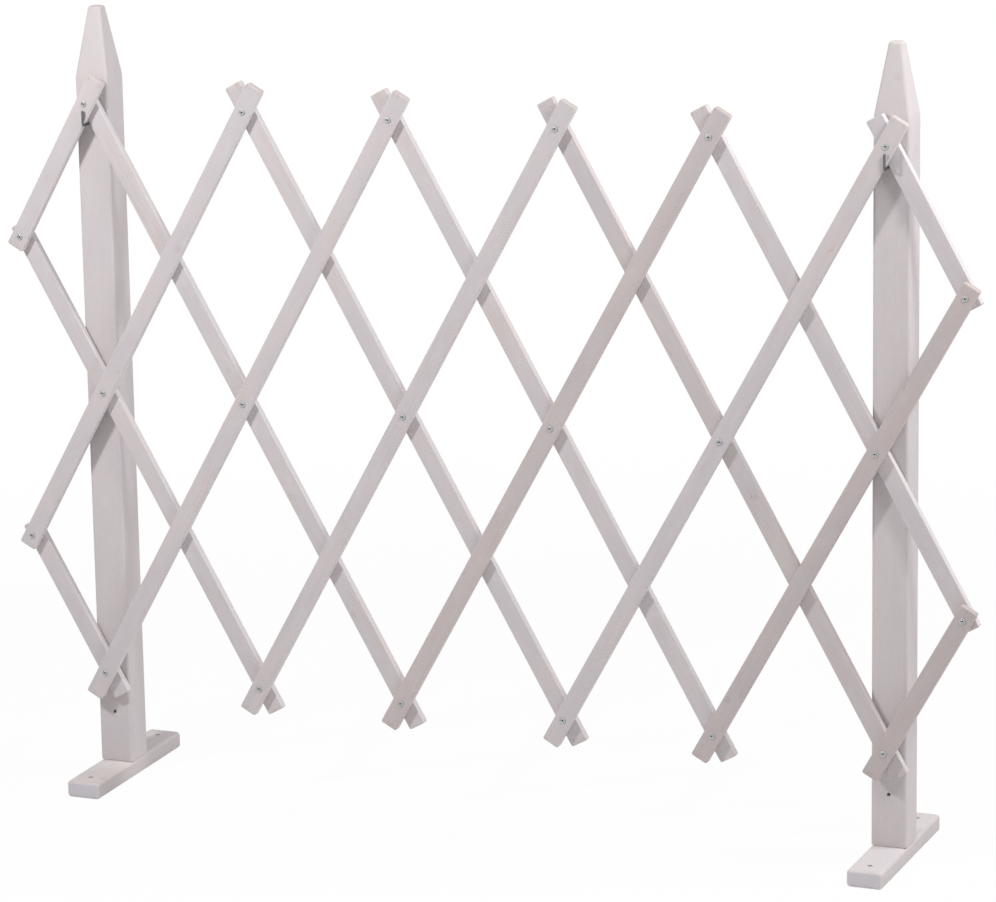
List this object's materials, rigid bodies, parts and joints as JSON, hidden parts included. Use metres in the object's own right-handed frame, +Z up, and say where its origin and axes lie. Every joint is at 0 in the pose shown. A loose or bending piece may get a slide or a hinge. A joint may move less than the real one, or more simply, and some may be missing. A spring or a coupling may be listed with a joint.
{
  "type": "folding trellis",
  "caption": "Free-standing scissor trellis of pale riveted wooden laths, hooked onto two square posts with tapered tops and foot boards; it folds sideways.",
  "frame": {"origin": "on the floor midway between the two posts, under the middle of the foot boards", "axes": "+Z up; +X along the lattice, from the left post to the right one as seen from the front; the lattice hangs on the front side of the posts, which faces -Y"},
  "size_m": [1.353, 0.254, 1.0661],
  "materials": {
    "lath_wood": "whitewashed pine, matt",
    "post_wood": "whitewashed pine, matt",
    "foot_wood": "whitewashed pine, matt, with greyer end grain",
    "zinc_steel": "zinc plated steel, dulled"
  },
  "bodies": {
    "left_post": {"left_post": "post_wood", "left_foot": "foot_wood", "left_hook": "zinc_steel", "left_foot_screw_front": "zinc_steel", "left_foot_screw_rear": "zinc_steel"},
    "left_hanger": {"rivet_top_1": "zinc_steel"},
    "front_lath_1": {"front_lath_1": "lath_wood", "rivet_left_upper": "zinc_steel"},
    "front_lath_2": {"front_lath_2": "lath_wood", "rivet_left_lower": "zinc_steel", "rivet_middle_1": "zinc_steel", "rivet_top_2": "zinc_steel"},
    "front_lath_3": {"front_lath_3": "lath_wood", "rivet_top_3": "zinc_steel", "rivet_middle_2": "zinc_steel", "rivet_bottom_1": "zinc_steel"},
    "front_lath_4": {"front_lath_4": "lath_wood", "rivet_top_4": "zinc_steel", "rivet_middle_3": "zinc_steel", "rivet_bottom_2": "zinc_steel"},
    "front_lath_5": {"front_lath_5": "lath_wood", "rivet_top_5": "zinc_steel", "rivet_middle_4": "zinc_steel", "rivet_bottom_3": "zinc_steel"},
    "front_lath_6": {"front_lath_6": "lath_wood", "rivet_middle_5": "zinc_steel", "rivet_bottom_4": "zinc_steel"},
    "front_lath_7": {"front_lath_7": "lath_wood", "rivet_middle_6": "zinc_steel", "rivet_bottom_5": "zinc_steel", "rivet_right_upper": "zinc_steel"},
    "front_lath_8": {"front_lath_8": "lath_wood", "rivet_bottom_6": "zinc_steel", "rivet_right_lower": "zinc_steel"},
    "rear_lath_1": {"rear_lath_1": "lath_wood"},
    "rear_lath_2": {"rear_lath_2": "lath_wood"},
    "rear_lath_3": {"rear_lath_3": "lath_wood"},
    "rear_lath_4": {"rear_lath_4": "lath_wood"},
    "rear_lath_5": {"rear_lath_5": "lath_wood"},
    "rear_lath_6": {"rear_lath_6": "lath_wood"},
    "rear_lath_7": {"rear_lath_7": "lath_wood"},
    "rear_lath_8": {"rear_lath_8": "lath_wood"},
    "right_hanger": {"rivet_top_6": "zinc_steel"},
    "right_post": {"right_post": "post_wood", "right_foot": "foot_wood", "right_hook": "zinc_steel", "right_foot_screw_front": "zinc_steel", "right_foot_screw_rear": "zinc_steel"}
  },
  "joints": [
    {"name": "left_hook_rise", "type": "slide", "parent": "left_post", "child": "left_hanger", "axis": [0, 0, 1], "range_m": [0, 0.07139]},
    {"name": "fold", "type": "hinge", "parent": "left_hanger", "child": "rear_lath_3", "pos_m": [-0.55494, -0.03705, 0.94163], "axis": [0, 1, 0], "range_deg": [0, 21.2]},
    {"name": "pivot_top_1", "type": "hinge", "parent": "left_hanger", "child": "front_lath_1", "pos_m": [-0.55494, -0.03705, 0.94163], "axis": [0, -1, 0], "range_deg": [0, 21.21]},
    {"name": "pivot_middle_2", "type": "hinge", "parent": "rear_lath_3", "child": "front_lath_3", "pos_m": [-0.3354, -0.03705, 0.54881], "axis": [0, -1, 0], "range_deg": [0, 42.42]},
    {"name": "pivot_top_3", "type": "hinge", "parent": "front_lath_3", "child": "rear_lath_5", "pos_m": [-0.11587, -0.03705, 0.94163], "axis": [0, 1, 0], "range_deg": [0, 42.42]},
    {"name": "pivot_middle_4", "type": "hinge", "parent": "rear_lath_5", "child": "front_lath_5", "pos_m": [0.10367, -0.03705, 0.54881], "axis": [0, -1, 0], "range_deg": [0, 42.42]},
    {"name": "pivot_top_5", "type": "hinge", "parent": "front_lath_5", "child": "rear_lath_7", "pos_m": [0.32321, -0.03705, 0.94163], "axis": [0, 1, 0], "range_deg": [0, 42.42]},
    {"name": "pivot_middle_6", "type": "hinge", "parent": "rear_lath_7", "child": "front_lath_7", "pos_m": [0.54274, -0.03705, 0.54881], "axis": [0, -1, 0], "range_deg": [0, 42.42]},
    {"name": "pivot_left_upper", "type": "hinge", "parent": "front_lath_1", "child": "rear_lath_2", "pos_m": [-0.65861, -0.03705, 0.75613], "axis": [0, 1, 0], "range_deg": [0, 42.42]},
    {"name": "pivot_middle_1", "type": "hinge", "parent": "rear_lath_2", "child": "front_lath_2", "pos_m": [-0.54274, -0.03705, 0.54881], "axis": [0, -1, 0], "range_deg": [0, 42.42]},
    {"name": "pivot_top_2", "type": "hinge", "parent": "front_lath_2", "child": "rear_lath_4", "pos_m": [-0.32321, -0.03705, 0.94163], "axis": [0, 1, 0], "range_deg": [0, 42.42]},
    {"name": "pivot_middle_3", "type": "hinge", "parent": "rear_lath_4", "child": "front_lath_4", "pos_m": [-0.10367, -0.03705, 0.54881], "axis": [0, -1, 0], "range_deg": [0, 42.42]},
    {"name": "pivot_top_4", "type": "hinge", "parent": "front_lath_4", "child": "rear_lath_6", "pos_m": [0.11587, -0.03705, 0.94163], "axis": [0, 1, 0], "range_deg": [0, 42.42]},
    {"name": "pivot_middle_5", "type": "hinge", "parent": "rear_lath_6", "child": "front_lath_6", "pos_m": [0.3354, -0.03705, 0.54881], "axis": [0, -1, 0], "range_deg": [0, 42.42]},
    {"name": "pivot_left_lower", "type": "hinge", "parent": "front_lath_2", "child": "rear_lath_1", "pos_m": [-0.65861, -0.03705, 0.3415], "axis": [0, 1, 0], "range_deg": [0, 42.42]},
    {"name": "pivot_top_6", "type": "hinge", "parent": "front_lath_6", "child": "rear_lath_8", "pos_m": [0.55494, -0.03705, 0.94163], "axis": [0, 1, 0], "range_deg": [0, 42.42]},
    {"name": "pivot_bottom_6", "type": "hinge", "parent": "rear_lath_6", "child": "front_lath_8", "pos_m": [0.55494, -0.03705, 0.156], "axis": [0, -1, 0], "range_deg": [0, 42.42]},
    {"name": "right_hanger_pivot", "type": "hinge", "parent": "front_lath_6", "child": "right_hanger", "pos_m": [0.55494, -0.03705, 0.94163], "axis": [0, 1, 0], "range_deg": [0, 21.21]},
    {"name": "right_hook_rise", "type": "slide", "parent": "right_hanger", "child": "right_post", "axis": [0, 0, -1], "range_m": [0, 0.07139]}
  ],
  "couplings": [
    {"joint": "left_hook_rise", "follows": "fold", "m_per_rad": 0.19292},
    {"joint": "pivot_top_1", "follows": "fold", "ratio": 1},
    {"joint": "pivot_middle_2", "follows": "fold", "ratio": 2},
    {"joint": "pivot_top_3", "follows": "fold", "ratio": 2},
    {"joint": "pivot_middle_4", "follows": "fold", "ratio": 2},
    {"joint": "pivot_top_5", "follows": "fold", "ratio": 2},
    {"joint": "pivot_middle_6", "follows": "fold", "ratio": 2},
    {"joint": "pivot_left_upper", "follows": "fold", "ratio": 2},
    {"joint": "pivot_middle_1", "follows": "fold", "ratio": 2},
    {"joint": "pivot_top_2", "follows": "fold", "ratio": 2},
    {"joint": "pivot_middle_3", "follows": "fold", "ratio": 2},
    {"joint": "pivot_top_4", "follows": "fold", "ratio": 2},
    {"joint": "pivot_middle_5", "follows": "fold", "ratio": 2},
    {"joint": "pivot_left_lower", "follows": "fold", "ratio": 2},
    {"joint": "pivot_top_6", "follows": "fold", "ratio": 2},
    {"joint": "pivot_bottom_6", "follows": "fold", "ratio": 2},
    {"joint": "right_hanger_pivot", "follows": "fold", "ratio": 1},
    {"joint": "right_hook_rise", "follows": "fold", "m_per_rad": 0.19292}
  ]
}
